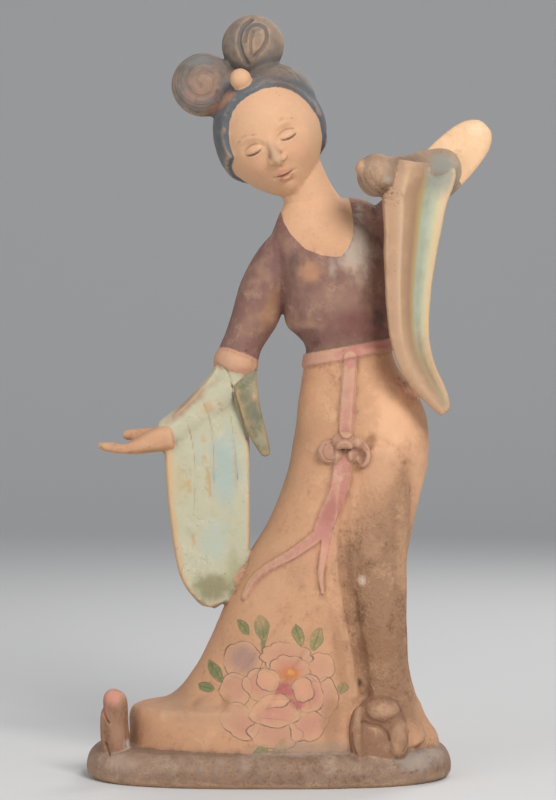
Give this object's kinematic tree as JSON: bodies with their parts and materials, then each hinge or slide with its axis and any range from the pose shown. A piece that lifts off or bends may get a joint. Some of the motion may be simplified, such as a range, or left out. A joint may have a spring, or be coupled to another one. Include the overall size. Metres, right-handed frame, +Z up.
{
  "type": "court lady figure",
  "caption": "Painted earthenware court lady figure, leaning in a dance with a long sleeve raised, moulded together with its low oval base.",
  "frame": {"origin": "middle of the flat underside of the base, on the surface that the figure stands on", "axes": "+Z up; the figure faces -Y; +X is the viewer's right, where the long sleeve is raised"},
  "size_m": [0.2552, 0.1278, 0.48],
  "materials": {
    "painted_earthenware": "matt unglazed clay with worn cold paint: peach skin and skirt, plum bodice, pale green sleeves, rose sash"
  },
  "bodies": {
    "root": {"court_lady_figure": "painted_earthenware"}
  },
  "joints": []
}
